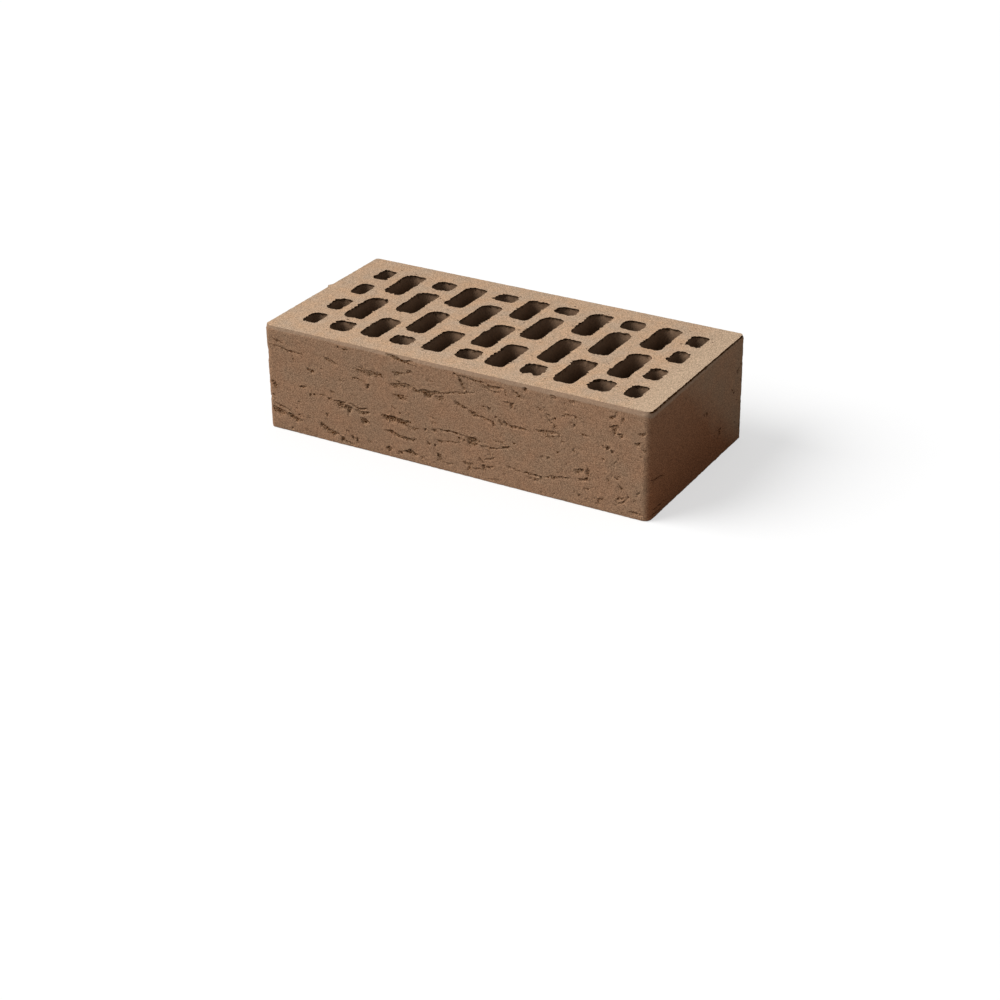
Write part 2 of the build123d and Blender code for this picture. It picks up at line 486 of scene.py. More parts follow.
# The whole skin: small drags and pits, thick on the facing side and thin on the others, and the slow
# waves of a long piece of clay. The wires leave a worn arris along both beds, wider along the upper.
patch_size = (35 * mm, 35 * mm, 16 * mm)
drag_size = (8 * mm, 8 * mm, 1.7 * mm)
drag_depth = 0.2 * mm
pit_size = (2.3 * mm, 2.3 * mm, 1.8 * mm)
pit_depth = 0.45 * mm
full_stain_and_shade_depth = 1.2 * mm
wave_size = (70 * mm, 70 * mm, 26 * mm)
wave_depth = 0.2 * mm
ripple_size = (13 * mm, 13 * mm, 3.2 * mm)
ripple_depth = 0.06 * mm
grain_depth = 0.03 * mm
skin_allowance = 0.05 * mm
upper_arris_height = 2.2 * mm
upper_arris_depth = 0.7 * mm
lower_arris_height = 1 * mm
lower_arris_depth = 0.2 * mm
wear_size = (9 * mm, 9 * mm, 40 * mm)
ragged_size = 2.2 * mm
ragged_depth = 0.25 * mm
ragged_height = 0.8 * mm

patches = smooth_step(-0.3, 0.4, noise_at(skin, patch_size, seed=3.5))
drags = smooth_step(0.25, 0.65, noise_at(skin, drag_size, seed=7.5)) * patches * grit
pits = smooth_step(0.55, 0.8, noise_at(skin, pit_size, seed=9.5)) * patches
spread = 0.2 + 0.8 * facing
small = spread * np.maximum(drag_depth * drags, pit_depth * pits)
deep = np.maximum(deep, small)
# Small drags and pits are painted darker the deeper they go: torn clay and painted shade in the hollow.
stain_and_shade = np.maximum(stain_and_shade, small / full_stain_and_shade_depth)
wave = wave_depth * noise_at(skin, wave_size, seed=1.5)
ripple = ripple_depth * noise_at(skin, ripple_size, seed=2.5)
grain = grain_depth * rough + skin_allowance
from_top = height - skin[:, 2]
from_bottom = skin[:, 2]
wear = 1 + 0.3 * noise_at(skin, wear_size, seed=4.5)
arris = upper_arris_depth * np.clip(1 - from_top / (upper_arris_height * wear), 0, 1)
arris += lower_arris_depth * np.clip(1 - from_bottom / (lower_arris_height * wear), 0, 1)
ragged = ragged_depth * noise_at(skin, ragged_size, seed=6.5)
arris += np.where(np.minimum(from_top, from_bottom) < ragged_height, ragged, 0)

# Worn corners: the four upright corners are the same clay as the rest, rubbed uneven by handling, with
# a few small dents.
dent_size = (40 * mm, 40 * mm, 4.5 * mm)
dent_depth = 0.55 * mm
chafe_size = (30 * mm, 30 * mm, 1.6 * mm)
chafe_depth = 0.14 * mm
rubbed_depth = 0.1 * mm
corner = smooth_step(0.1, 0.45, np.abs(outward[:, 0] * outward[:, 1]))
dents = smooth_step(0.15, 0.6, noise_at(skin, dent_size, seed=31.5))
chafe = noise_at(skin, chafe_size, seed=32.5)
worn = corner * (dent_depth * dents + chafe_depth * chafe + rubbed_depth)

# Wire burrs: the wire left a thin lip of clay over the right end's upper edge, with a hollow under it
# that is painted dark, a painted shadow of the lip, and one crumb of clay on the left end's upper edge.
# Both were fired with the brick.
lip_thickness = 0.2 * mm
lip_overhang = 0.25 * mm
hang_size = (6 * mm, 6 * mm, 40 * mm)
hollow_place = 0.5 * mm
hollow_height = 0.55 * mm
hollow_depth = 0.4 * mm
painted_under_lip_shade = 2.6
crumb_y = 8 * mm
crumb_length = 1.7 * mm
crumb_height = 1.2 * mm
crumb_reach = 1.5 * mm
crumb_evenness = 0.4 * mm
ridge_clearance = 0.15 * mm
skin_triangles = 116000

right_end = smooth_step(0.7, 0.95, outward[:, 0])
left_end = smooth_step(0.7, 0.95, -outward[:, 0])
hang = 1 + 0.5 * noise_at(skin, hang_size, seed=33.5)
end_lip = right_end * np.where(from_top < lip_thickness, lip_overhang, 0)
under_lip = np.exp(-((from_top - hollow_place) / (hollow_height * hang)) ** 2)
under_lip *= 1 + 0.6 * ragged / ragged_depth
# The band under the lip is painted dark: a painted shadow of the lip.
stain_and_shade = np.maximum(stain_and_shade, painted_under_lip_shade * np.clip(right_end * under_lip, 0, 1))
end_hollow = hollow_depth * right_end * np.clip(under_lip, 0, 1)
crumb = crumb_reach * np.exp(-((skin[:, 1] - crumb_y) / crumb_length) ** 2 - (from_top / crumb_height) ** 2)
crumb *= left_end * (1 + ragged / crumb_evenness)
raised *= 1 - smooth_step(0, ridge_clearance, deep)
inward = np.maximum(wave + ripple + grain + arris + worn + deep + end_hollow - end_lip, 0)
inward = inward - crumb - raised
write_points(brick.data, skin - outward * inward[:, None])


def mark_torn_and_shade(mesh, values):
    """Stores on each point how dark it is painted: the clay's dark inside, and painted shade in hollows and
    under lips.
    """
    torn = mesh.attributes.new("torn", "FLOAT", "POINT")
    torn.data.foreach_set("value", values.astype(np.float32))


def thin_out(piece, name, triangles):
    """Thins a mesh where it is flattest, down to about this many triangles."""
    bpy.context.view_layer.objects.active = piece
    thin = piece.modifiers.new(name, "DECIMATE")
    thin.ratio = triangles / sum(len(face.vertices) - 2 for face in piece.data.polygons)
    bpy.ops.object.modifier_apply(modifier=thin.name)


mark_torn_and_shade(brick.data, stain_and_shade)
thin_out(brick, "thin_flat_clay", skin_triangles)

# The holes: steel cores in the die keep 35 upright holes open through the brick, to save clay and let
# it dry and fire through. Their walls are smooth along the holes, and the wires tear the rims.
side_wall = 14 * mm
end_wall = 15 * mm
column_web = 7.4 * mm
slot_web = 10.5 * mm
cell_web = 7 * mm
end_cell_web = 11 * mm
middle_columns = 9
cells_per_end = 4
end_cell_width = 10.4 * mm
short_cell_length = 12.5 * mm
outer_slot_share = 0.484
hole_field = width - 2 * side_wall
columns_room = length - 2 * (end_wall + end_cell_width) - (middle_columns + 1) * column_web
slot_width = columns_room / middle_columns
column_pitch = slot_width + column_web
slots_room = hole_field - short_cell_length - slot_web - cell_web
outer_slot_length = slots_room * outer_slot_share
inner_slot_length = slots_room - outer_slot_length
end_cell_length = (hole_field - (cells_per_end - 1) * end_cell_web) / cells_per_end
end_column_place = length / 2 - end_wall - end_cell_width / 2
core_overrun = 3 * mm
wall_step = 0.45 * mm
row_depths = (0.15, 0.5, 0.9, 1.6, 2.8, 5.0, 10.0, 22.0)


def make_core(name, size_x, size_y, radii):
    """One core, upright at the middle of the brick and longer than the brick is high.

    Its corner radii in mm are those of the near left, near right, far left and far right corners.
    """
    bpy.ops.object.select_all(action="DESELECT")
    tall = height + 2 * core_overrun
    bpy.ops.mesh.primitive_cube_add(size=1, location=(0, 0, height / 2), scale=(size_x, size_y, tall))
    core = bpy.context.object
    core.name = name
    bpy.ops.object.transform_apply(location=True, rotation=False, scale=True)
    bpy.ops.object.mode_set(mode="EDIT")
    corners = ((False, False), (True, False), (False, True), (True, True))
    for radius, (right, far) in zip(radii, corners):
        steps = round(radius * mm * math.pi / 2 / wall_step)
        round_corners(lambda a: (a.x > 0) == right and (a.y > 0) == far, radius * mm, steps)
    near_left, near_right, far_left, far_right = radii
    longest_x = size_x - min(near_left + near_right, far_left + far_right) * mm
    longest_y = size_y - min(near_left + far_left, near_right + far_right) * mm
    for axis, longest in enumerate((longest_x, longest_y)):
        divide(lambda a, b: abs(a[axis] - b[axis]) > 2 * wall_step, (round(longest / wall_step),))
    for depth in row_depths:
        for z in (depth * mm, height - depth * mm):
            bpy.ops.mesh.select_all(action="SELECT")
            bpy.ops.mesh.bisect(plane_co=(0, 0, z), plane_no=(0, 0, 1))
    bpy.ops.object.mode_set(mode="OBJECT")
    return core


def place_copy(model, x, y, z):
    """A copy of the model with its own mesh, moved by this much."""
    bpy.ops.object.select_all(action="DESELECT")
    model.select_set(True)
    bpy.context.view_layer.objects.active = model
    bpy.ops.object.duplicate()
    bpy.ops.transform.translate(value=(x, y, z))
    bpy.ops.object.transform_apply(location=True, rotation=False, scale=False)
    return bpy.context.object


def join_all(name, pieces):
    """One object from all the pieces."""
    bpy.ops.object.select_all(action="DESELECT")
    for piece in pieces:
        piece.select_set(True)
    bpy.context.view_layer.objects.active = pieces[0]
    bpy.ops.object.join()
    pieces[0].name = name
    return pieces[0]


short_core = make_core("short_cell_core", slot_width, short_cell_length, (4.8, 3.4, 4.6, 3.6))
inner_core = make_core("inner_slot_core", slot_width, inner_slot_length, (4.8, 3.2, 6, 4.4))
outer_core = make_core("outer_slot_core", slot_width, outer_slot_length, (4.8, 3.2, 4.8, 3))
end_core = make_core("end_cell_core", end_cell_width, end_cell_length, (3.6, 2.6, 3.8, 2.6))

# The cores bend a little in the die, so each hole is off its place: along the brick, at its near end
# and at its far end, in mm outwards. Each line is one row of holes across the brick, from the front.
middle_drifts = [
    [(2.2, 1.0, 0.5), (-0.3, 0.9, 0.0), (0.1, 1.0, -0.4)],
    [(1.4, -0.9, -1.6), (0.3, 0.8, -0.2), (0.9, 0.6, -0.4)],
    [(0.8, 0.6, -1.3), (-0.3, 1.5, -1.0), (0.0, 1.4, 0.2)],
    [(0.8, 0.0, 0.2), (0.5, 0.0, 0.9), (0.5, -1.9, 0.5)],
    [(1.1, 0.0, 0.6), (0.4, 1.2, 0.0), (-0.2, -0.2, 0.0)],
    [(-0.6, 1.0, 0.5), (-1.7, -0.5, 1.9), (-1.4, -1.9, 0.2)],
    [(0.7, 1.6, 0.2), (0.8, 1.6, 0.5), (-0.4, 2.1, 0.0)],
    [(0.6, 1.7, 0.6), (-0.2, 0.4, 1.1), (-0.1, 0.6, 0.5)],
    [(0.3, 2.0, 0.0), (1.7, 1.3, 0.7), (0.8, 1.5, 0.0)],
]
end_drifts = [
    [(0.5, -1.4, 1.5), (1.5, 1.6, 0.4), (0.7, 1.0, 0.6), (0.2, 1.1, -0.6)],
    [(0.7, 0.7, 0.0), (0.0, 1.6, -1.3), (1.2, 1.4, -0.4), (0.8, 2.5, -1.9)],
]


def place_core(core, x, y, drift):
    """A copy of a core at its place, with its own drift."""
    along, near_end, far_end = drift
    placed_core = place_copy(core, x + along * mm, y, 0)
    points = read_points(placed_core.data, "co")
    from_middle = points[:, 1] - y
    share = from_middle / from_middle.max()
    points[:, 1] += share * np.where(from_middle > 0, far_end, near_end) * mm
    write_points(placed_core.data, points)
    return placed_core


column_cores = [short_core, inner_core, outer_core]
column_lengths = [short_cell_length, inner_slot_length, outer_slot_length]
column_webs = [cell_web, slot_web]


def column_x(number):
    """The place of a middle column along the brick."""
    return (number - (middle_columns - 1) / 2) * column_pitch


def column_holes(number):
    """Each hole of a middle column, from the front: its core's number, its near end and its length."""
    order = -1 if number % 2 else 1
    near_y = -hole_field / 2
    for core_number, web in zip((0, 1, 2)[::order], [*column_webs[::order], 0]):
        long = column_lengths[core_number]
        yield core_number, near_y, long
        near_y += long + web


placed = []
for number in range(middle_columns):
    for (core_number, near_y, long), drift in zip(column_holes(number), middle_drifts[number]):
        placed.append(place_core(column_cores[core_number], column_x(number), near_y + long / 2, drift))
for x, drifts in zip((-end_column_place, end_column_place), end_drifts):
    for number, drift in enumerate(drifts):
        y = (number - (cells_per_end - 1) / 2) * (end_cell_length + end_cell_web)
        placed.append(place_core(end_core, x, y, drift))
for core in (*column_cores, end_core):
    bpy.data.objects.remove(core)
cores = join_all("cores", placed)

# The walls and rims of the holes: each wall leans and is a little lumpy, the wire leaves teeth and a
# thin burr of clay round the mouth, and the clay is hollowed out under the burr. A stub of clay sticks
# out of the front wall of one short cell near the right.
lean_size = (9 * mm, 9 * mm, 40 * mm)
lean_depth = 0.35 * mm
patchy_size = (7 * mm, 7 * mm, 20 * mm)
lump_size = 3.6 * mm
lump_depth = 0.7 * mm
tooth_size = (1.25 * mm, 1.25 * mm, 1.6 * mm)
tooth_depth = 1.1 * mm
crumbling_size = 2.6 * mm
wall_allowance = 0.15 * mm
under_burr_depth = 0.5 * mm
burr_width = 0.15 * mm
stub_x = 44.3 * mm
stub_y = -47.6 * mm
stub_radius = 2.2 * mm
stub_reach = 2.6 * mm
core_triangles = 50000

walls = read_points(cores.data, "co")
away = read_points(cores.data, "normal") * (1, 1, 0)
away /= np.maximum(np.linalg.norm(away, axis=1), 1e-6)[:, None]
depth_in = np.minimum(walls[:, 2], height - walls[:, 2])
mouth = 1 - smooth_step(0.3 * mm, 4 * mm, depth_in)
rim = 1 - smooth_step(0.2 * mm, 1.6 * mm, depth_in)
burr = 1 - smooth_step(0.2 * mm, 0.7 * mm, depth_in)
under_burr = smooth_step(0.2 * mm, 0.9 * mm, depth_in) * (1 - smooth_step(1.4 * mm, 4 * mm, depth_in))
lean = lean_depth * noise_at(walls, lean_size, seed=21.5)
patchy = 0.45 + 0.85 * smooth_step(-0.2, 0.35, noise_at(walls, patchy_size, seed=25.5))
lumps = lump_depth * patchy * noise_at(walls, lump_size, seed=22.5)
teeth = tooth_depth * patchy * noise_at(walls, tooth_size, seed=23.5)
crumbling = 1 + 0.8 * noise_at(walls, crumbling_size, seed=24.5)
moved = wall_allowance + lean + (0.05 + 0.95 * mouth) * lumps + rim * teeth
moved += (under_burr_depth * under_burr - burr_width * burr) * crumbling
from_stub = np.hypot(walls[:, 0] - stub_x, walls[:, 1] - stub_y)
near_top = 1 - smooth_step(2 * mm, 12 * mm, height - walls[:, 2])
moved -= stub_reach * np.exp(-((from_stub / stub_radius) ** 2)) * near_top
write_points(cores.data, walls + away * moved[:, None])
# Just under each rim the walls are painted darker: painted shadow of the burr, over torn clay.
shadowed = (1 - smooth_step(0.5 * mm, 1.6 * mm, depth_in)) * np.clip(crumbling, 0.5, 1)
mark_torn_and_shade(cores.data, shadowed)
thin_out(cores, "thin_core_walls", core_triangles)


def cut_away(name, tool):
    """Takes the tool's shape out of the brick."""
    bpy.ops.object.select_all(action="DESELECT")
    brick.select_set(True)
    bpy.context.view_layer.objects.active = brick
    cut = brick.modifiers.new(name, "BOOLEAN")
    cut.operation = "DIFFERENCE"
    cut.solver = "MANIFOLD"
    cut.object = tool
    bpy.ops.object.modifier_apply(modifier=cut.name)
    bpy.data.objects.remove(tool)


cut_away("open_the_holes", cores)

# Pits of the beds: grains that the wire pulled out near the rims, and a few chips broken out of the
# upper back edge. Each is a crumb-shaped hollow painted darker, for the clay's darker inside and as
# painted shade in the hollow. A chip's line gives its place along the brick and half its length, in mm.
pulled_count = 55
pulled_sizes = (0.3, 0.65)
pulled_stretches = (0.8, 2.2)
pulled_depth_share = 0.6
pulled_stain_and_shade = 0.8
bed_margin = 4 * mm
rim_reach = 5 * mm
chips = [(-64, 2.6), (-59.5, 1.8), (-55, 2.4), (-49, 2.2), (-46.2, 1.5), (36, 1.4), (88, 1.8)]
chip_width = 1 * mm
chip_depth = 0.8 * mm
crumb_size = 1.1 * mm
crumb_depth = 0.3 * mm
bpy.ops.object.select_all(action="DESELECT")
bpy.ops.mesh.primitive_ico_sphere_add(subdivisions=1, radius=1, location=(0, 0, 0))
crumb_shape = bpy.context.object
hollows = []
pick = random.Random(12)


def in_hole(x, y, room):
    """True if the place is inside a hole or nearer to one than the room."""
    if abs(y) > hole_field / 2 + room:
        return False
    if abs(abs(x) - end_column_place) < end_cell_width / 2 + room:
        y_in = (y + hole_field / 2) % (end_cell_length + end_cell_web)
        return y_in < end_cell_length + room or y_in > end_cell_length + end_cell_web - room
    number = round(x / column_pitch + (middle_columns - 1) / 2)
    if not 0 <= number < middle_columns:
        return False
    if abs(x - column_x(number)) > slot_width / 2 + room:
        return False
    return any(near_y - room < y < near_y + long + room for _, near_y, long in column_holes(number))


def add_hollow(x, y, z, size_x, size_y, size_z):
    """A hollow of this size, ready to be cut."""
    hollows.append(place_copy(crumb_shape, x, y, z))
    bpy.ops.object.mode_set(mode="EDIT")
    bpy.ops.mesh.select_all(action="SELECT")
    bpy.ops.transform.resize(value=(size_x, size_y, size_z), center_override=(x, y, z))
    bpy.ops.object.mode_set(mode="OBJECT")


for bed in (0, height):
    pulled = 0
    while pulled < pulled_count:
        x = pick.uniform(-length / 2 + bed_margin, length / 2 - bed_margin)
        y = pick.uniform(-width / 2 + bed_margin, width / 2 - bed_margin)
        size = pick.uniform(*pulled_sizes) * mm
        if not in_hole(x, y, size) and in_hole(x, y, rim_reach):
            add_hollow(x, y, bed, size * pick.uniform(*pulled_stretches), size, size * pulled_depth_share)
            pulled += 1
for x, size in chips:
    add_hollow(x * mm, width / 2, height, size * mm, chip_width, chip_depth)
bpy.data.objects.remove(crumb_shape)
pit_tools = join_all("pits", hollows)
smooth_pits = read_points(pit_tools.data, "co")
jitter = np.stack([noise_at(smooth_pits, crumb_size, seed=41.5 + 3 * axis) for axis in range(3)], 1)
write_points(pit_tools.data, smooth_pits + crumb_depth * jitter)
mark_torn_and_shade(pit_tools.data, np.full(len(smooth_pits), pulled_stain_and_shade))
cut_away("pull_out_grains", pit_tools)

# The fired clay: one body clay with fine sand in it. Fired with little air, its outer skin turned
# taupe brown. Where it is torn or pulled out, it is painted a warm dark brown, partly for its darker
# inside and partly as painted shade in the hollows and under the lips.


def add_node(tree, kind, **settings):
    """A shader node, with settings given by property or by input name with _ for a space."""
    node = tree.nodes.new("ShaderNode" + kind)
    for name, value in settings.items():
        if hasattr(node, name):
            setattr(node, name, value)
        else:
            node.inputs[name.replace("_", " ")].default_value = value
    return node


def join_nodes(tree, *links):
    """Links outputs to inputs, each link as (node, output, node, input)."""
    for source, output, target, socket in links:
        tree.links.new(source.outputs[output], target.inputs[socket])


def colour_mix(tree, first, second, **settings):
    """A node that blends two colours; its factor is input 0, the colours inputs 6 and 7, output 2."""
    node = add_node(tree, "Mix", data_type="RGBA", **settings)
    node.inputs[6].default_value = (*first, 1)
    node.inputs[7].default_value = (*second, 1)
    return node


def maths(tree, operation, *values, **settings):
    """A maths node whose inputs after the first start with these values."""
    node = add_node(tree, "Math", operation=operation, **settings)
    for number, value in enumerate(values, 1):
        node.inputs[number].default_value = value
    return node


def map_range(tree, low, high, start=0, stop=1):
    """A node that turns values from low to high into start to stop, and holds them past either end."""
    return add_node(tree, "MapRange", From_Min=low, From_Max=high, To_Min=start, To_Max=stop)


def add_split(tree):
    """A node that gives a point's place on the brick as X, Y and Z."""
    place = add_node(tree, "TexCoord")
    split = add_node(tree, "SeparateXYZ")
    join_nodes(tree, (place, "Object", split, 0))
    return split


sand = bpy.data.node_groups.new("sandy_clay", "ShaderNodeTree")
sand.interface.new_socket("Grains per metre", in_out="INPUT", socket_type="NodeSocketFloat")
for socket in ("Tone", "Grit", "Cloud", "Crumble", "Height"):
    sand.interface.new_socket(socket, in_out="OUTPUT", socket_type="NodeSocketFloat")
inlet = sand.nodes.new("NodeGroupInput")
outlet = sand.nodes.new("NodeGroupOutput")
place = add_node(sand, "TexCoord")
grains = add_node(sand, "TexVoronoi")
each_grain = add_node(sand, "SeparateColor")
lump = add_node(sand, "TexNoise", Scale=420.0, Detail=3.0, Roughness=0.65)
dragged = add_node(sand, "VectorMath", operation="MULTIPLY")
dragged.inputs[1].default_value = (1.0, 1.0, 1.5)
crumbs = add_node(sand, "TexVoronoi", Scale=1300.0)
each_crumb = add_node(sand, "SeparateColor")
cloud = add_node(sand, "TexNoise", Scale=75.0, Detail=4.0, Roughness=0.6)
tone = map_range(sand, 0, 1, -1, 1)
grit_mask = map_range(sand, 0.972, 0.98)
cloud_mask = map_range(sand, 0.36, 0.64)
relief_sum = maths(sand, "MULTIPLY_ADD", -0.75)
join_nodes(
    sand,
    (place, "Object", grains, "Vector"),
    (place, "Object", lump, "Vector"),
    (place, "Object", dragged, 0),
    (dragged, 0, crumbs, "Vector"),
    (place, "Object", cloud, "Vector"),
    (inlet, "Grains per metre", grains, "Scale"),
    (grains, "Color", each_grain, "Color"),
    (each_grain, "Red", tone, "Value"),
    (each_grain, "Green", grit_mask, "Value"),
    (cloud, 0, cloud_mask, "Value"),
    (crumbs, "Color", each_crumb, "Color"),
    (grains, "Distance", relief_sum, 0),
    (lump, 0, relief_sum, 2),
    (tone, "Result", outlet, "Tone"),
    (grit_mask, "Result", outlet, "Grit"),
    (cloud_mask, "Result", outlet, "Cloud"),
    (each_crumb, "Red", outlet, "Crumble"),
    (relief_sum, 0, outlet, "Height"),
)


hollow_shade_tint = (0.705, 0.682, 0.628)


def clay_finish(
    name, colour, cloud_colour, dark_shares, grains, contrast, grit_share, torn_and_shade_share, scatter, bump
):
    """Fired clay: cloudy patches of two colours, sand grains, and dark crumbly clay with painted shade
    where it is torn.

    Returns the material and the nodes of its plain colour, grained colour, grain tone and grain level.
    """
    material = bpy.data.materials.new(name)
    material.use_nodes = True
    tree = material.node_tree
    shader = tree.nodes["Principled BSDF"]
    shader.inputs["Roughness"].default_value = 0.93
    shader.inputs["Specular IOR Level"].default_value = 0
    clay = add_node(tree, "Group", node_tree=sand)
    clay.inputs["Grains per metre"].default_value = grains
    base = colour_mix(tree, colour, cloud_colour)
    roughen = map_range(tree, 0, 1, 1, 1 + 0.8 * torn_and_shade_share)
    rough_tone = maths(tree, "MULTIPLY")
    level = maths(tree, "MULTIPLY_ADD", contrast, 1.0)
    grained = add_node(tree, "VectorMath", operation="SCALE")
    torn_clay_and_shade = add_node(tree, "Attribute", attribute_name="torn")
    ragged_edge = maths(tree, "MULTIPLY_ADD", -0.25)
    hollow = map_range(tree, 0, 0.35, 0, torn_and_shade_share)
    shaded = colour_mix(tree, colour, hollow_shade_tint, blend_type="MULTIPLY")
    over = maths(tree, "MULTIPLY_ADD", -1.0 / scatter)
    broken = map_range(tree, 0.02, 0.1, 0, torn_and_shade_share)
    inside = map_range(tree, 0.03, 0.2)
    tear = maths(tree, "MULTIPLY")
    speck = maths(tree, "MULTIPLY", grit_share)
    dark = maths(tree, "MAXIMUM", use_clamp=True)
    finish = colour_mix(tree, colour, dark_shares, blend_type="MULTIPLY")
    sunk = maths(tree, "MULTIPLY_ADD", -0.6)
    relief = add_node(tree, "Bump", Strength=1.0, Distance=bump)
    join_nodes(
        tree,
        (clay, "Cloud", base, 0),
        (clay, "Tone", rough_tone, 0),
        (torn_clay_and_shade, "Fac", roughen, "Value"),
        (roughen, "Result", rough_tone, 1),
        (rough_tone, 0, level, 0),
        (base, 2, grained, 0),
        (level, 0, grained, "Scale"),
        (clay, "Crumble", ragged_edge, 0),
        (torn_clay_and_shade, "Fac", ragged_edge, 2),
        (ragged_edge, 0, hollow, "Value"),
        (hollow, "Result", shaded, 0),
        (grained, 0, shaded, 6),
        (clay, "Crumble", over, 0),
        (torn_clay_and_shade, "Fac", over, 2),
        (over, 0, broken, "Value"),
        (torn_clay_and_shade, "Fac", inside, "Value"),
        (broken, "Result", tear, 0),
        (inside, "Result", tear, 1),
        (clay, "Grit", speck, 0),
        (tear, 0, dark, 0),
        (speck, 0, dark, 1),
        (dark, 0, finish, 0),
        (shaded, 2, finish, 6),
        (finish, 2, shader, "Base Color"),
        (tear, 0, sunk, 0),
        (clay, "Height", sunk, 2),
        (sunk, 0, relief, "Height"),
        (relief, "Normal", shader, "Normal"),
    )
    return material, {"base": base, "grained": grained, "tone": rough_tone, "level": level}


skin_clay, skin_nodes = clay_finish(
    "facing_clay",
    colour=(0.333, 0.192, 0.115),
    cloud_colour=(0.307, 0.191, 0.119),
    dark_shares=(0.294, 0.163, 0.046),
    grains=3200,
    contrast=0.485,
    grit_share=0.35,
    torn_and_shade_share=1.0,
    scatter=0.6,
    bump=0.14 * mm,
)

# The beds' finish: the wire cut the clay open there before drying, and it stayed a paler tan. It is
# painted a little lighter towards the front, a painted falloff of the lamp's light, and greyer along
# the right margin.
margin_colour = (0.543, 0.392, 0.267)
bed_clay, bed_nodes = clay_finish(
    "wire_cut_clay",
    colour=(0.548, 0.358, 0.225),
    cloud_colour=(0.499, 0.358, 0.248),
    dark_shares=(0.478, 0.423, 0.386),
    grains=3200,
    contrast=0.492,
    grit_share=0.6,
    torn_and_shade_share=0.0,
    scatter=1.0,
    bump=0.1 * mm,
)
bed_tree = bed_clay.node_tree
bed_split = add_split(bed_tree)
# Painted light: the bed is made lighter towards the front.
painted_light_to_front = map_range(bed_tree, -width / 2, width / 2, 1.045, 0.955)
right_margin = map_range(bed_tree, length / 2 - 25 * mm, length / 2 - 7 * mm)
greyer = colour_mix(bed_tree, (0, 0, 0), margin_colour)
join_nodes(
    bed_tree,
    (bed_split, "Y", painted_light_to_front, "Value"),
    (painted_light_to_front, "Result", bed_nodes["level"], 2),
    (bed_split, "X", right_margin, "Value"),
    (right_margin, "Result", greyer, 0),
    (bed_nodes["base"], 2, greyer, 6),
    (greyer, 2, bed_nodes["grained"], 0),
)

# The holes' finish: the walls slid along the cores, which smoothed them, and they are a darker brown
# than the beds. They are painted paler near the mouths and darker deep down: painted light and shade
# of the holes.
core_clay, core_nodes = clay_finish(
    "core_wall_clay",
    colour=(0.203, 0.126, 0.079),
    cloud_colour=(0.181, 0.116, 0.074),
    dark_shares=(0.24, 0.2, 0.16),
    grains=1500,
    contrast=0.15,
    grit_share=0.2,
    torn_and_shade_share=0.9,
    scatter=1.0,
    bump=0.12 * mm,
)
core_tree = core_clay.node_tree
core_split = add_split(core_tree)
above_middle = maths(core_tree, "SUBTRACT", height / 2)
to_middle = maths(core_tree, "ABSOLUTE")
# Painted light and shade: the walls are paler near the mouths and darker deep down.
painted_hole_light = map_range(core_tree, height / 2 - 13 * mm, height / 2 - 5 * mm, 0.62, 1.12)
join_nodes(
    core_tree,
    (core_split, "Z", above_middle, 0),
    (above_middle, 0, to_middle, 0),
    (to_middle, 0, painted_hole_light, "Value"),
    (painted_hole_light, "Result", core_nodes["level"], 2),
)

# The flash on the right end: the lower front part of that end is painted redder than the rest, partly
# a flash from the firing and partly painted warm light bounced up from below. Its edge runs slanting
# and wavy across the end, and the red fades upwards.
flash_and_bounce_colour = (0.263, 0.111, 0.053)
flash_and_bounce_slant = 0.91
flash_and_bounce_wave = 20 * mm
flash_and_bounce_start = 46 * mm
flash_and_bounce_stop = 70 * mm
skin_tree = skin_clay.node_tree
skin_place = add_node(skin_tree, "TexCoord")
skin_split = add_split(skin_tree)
slow_noise = add_node(skin_tree, "TexNoise", Scale=60.0, Detail=3.0)
slanting = maths(skin_tree, "MULTIPLY_ADD", flash_and_bounce_slant)
wavy = maths(skin_tree, "MULTIPLY_ADD", flash_and_bounce_wave)
low_front = map_range(skin_tree, flash_and_bounce_start, flash_and_bounce_stop, 1, 0)
on_end = map_range(skin_tree, length / 2 - 3 * mm, length / 2 - 0.5 * mm)
flash_and_bounce = maths(skin_tree, "MULTIPLY")
weaker_up = map_range(skin_tree, 0, height, 1.1, 0.5)
fading_flash_and_bounce = maths(skin_tree, "MULTIPLY", use_clamp=True)
# Partly a firing flash, partly painted warm bounce light that fades upwards.
redder = colour_mix(skin_tree, (0, 0, 0), flash_and_bounce_colour)
join_nodes(
    skin_tree,
    (skin_place, "Object", slow_noise, "Vector"),
    (skin_split, "Y", slanting, 0),
    (skin_split, "Z", slanting, 2),
    (slow_noise, 0, wavy, 0),
    (slanting, 0, wavy, 2),
    (wavy, 0, low_front, "Value"),
    (skin_split, "X", on_end, "Value"),
    (low_front, "Result", flash_and_bounce, 0),
    (on_end, "Result", flash_and_bounce, 1),
    (skin_split, "Z", weaker_up, "Value"),
    (flash_and_bounce, 0, fading_flash_and_bounce, 0),
    (weaker_up, "Result", fading_flash_and_bounce, 1),
    (fading_flash_and_bounce, 0, redder, 0),
    (skin_nodes["base"], 2, redder, 6),
)

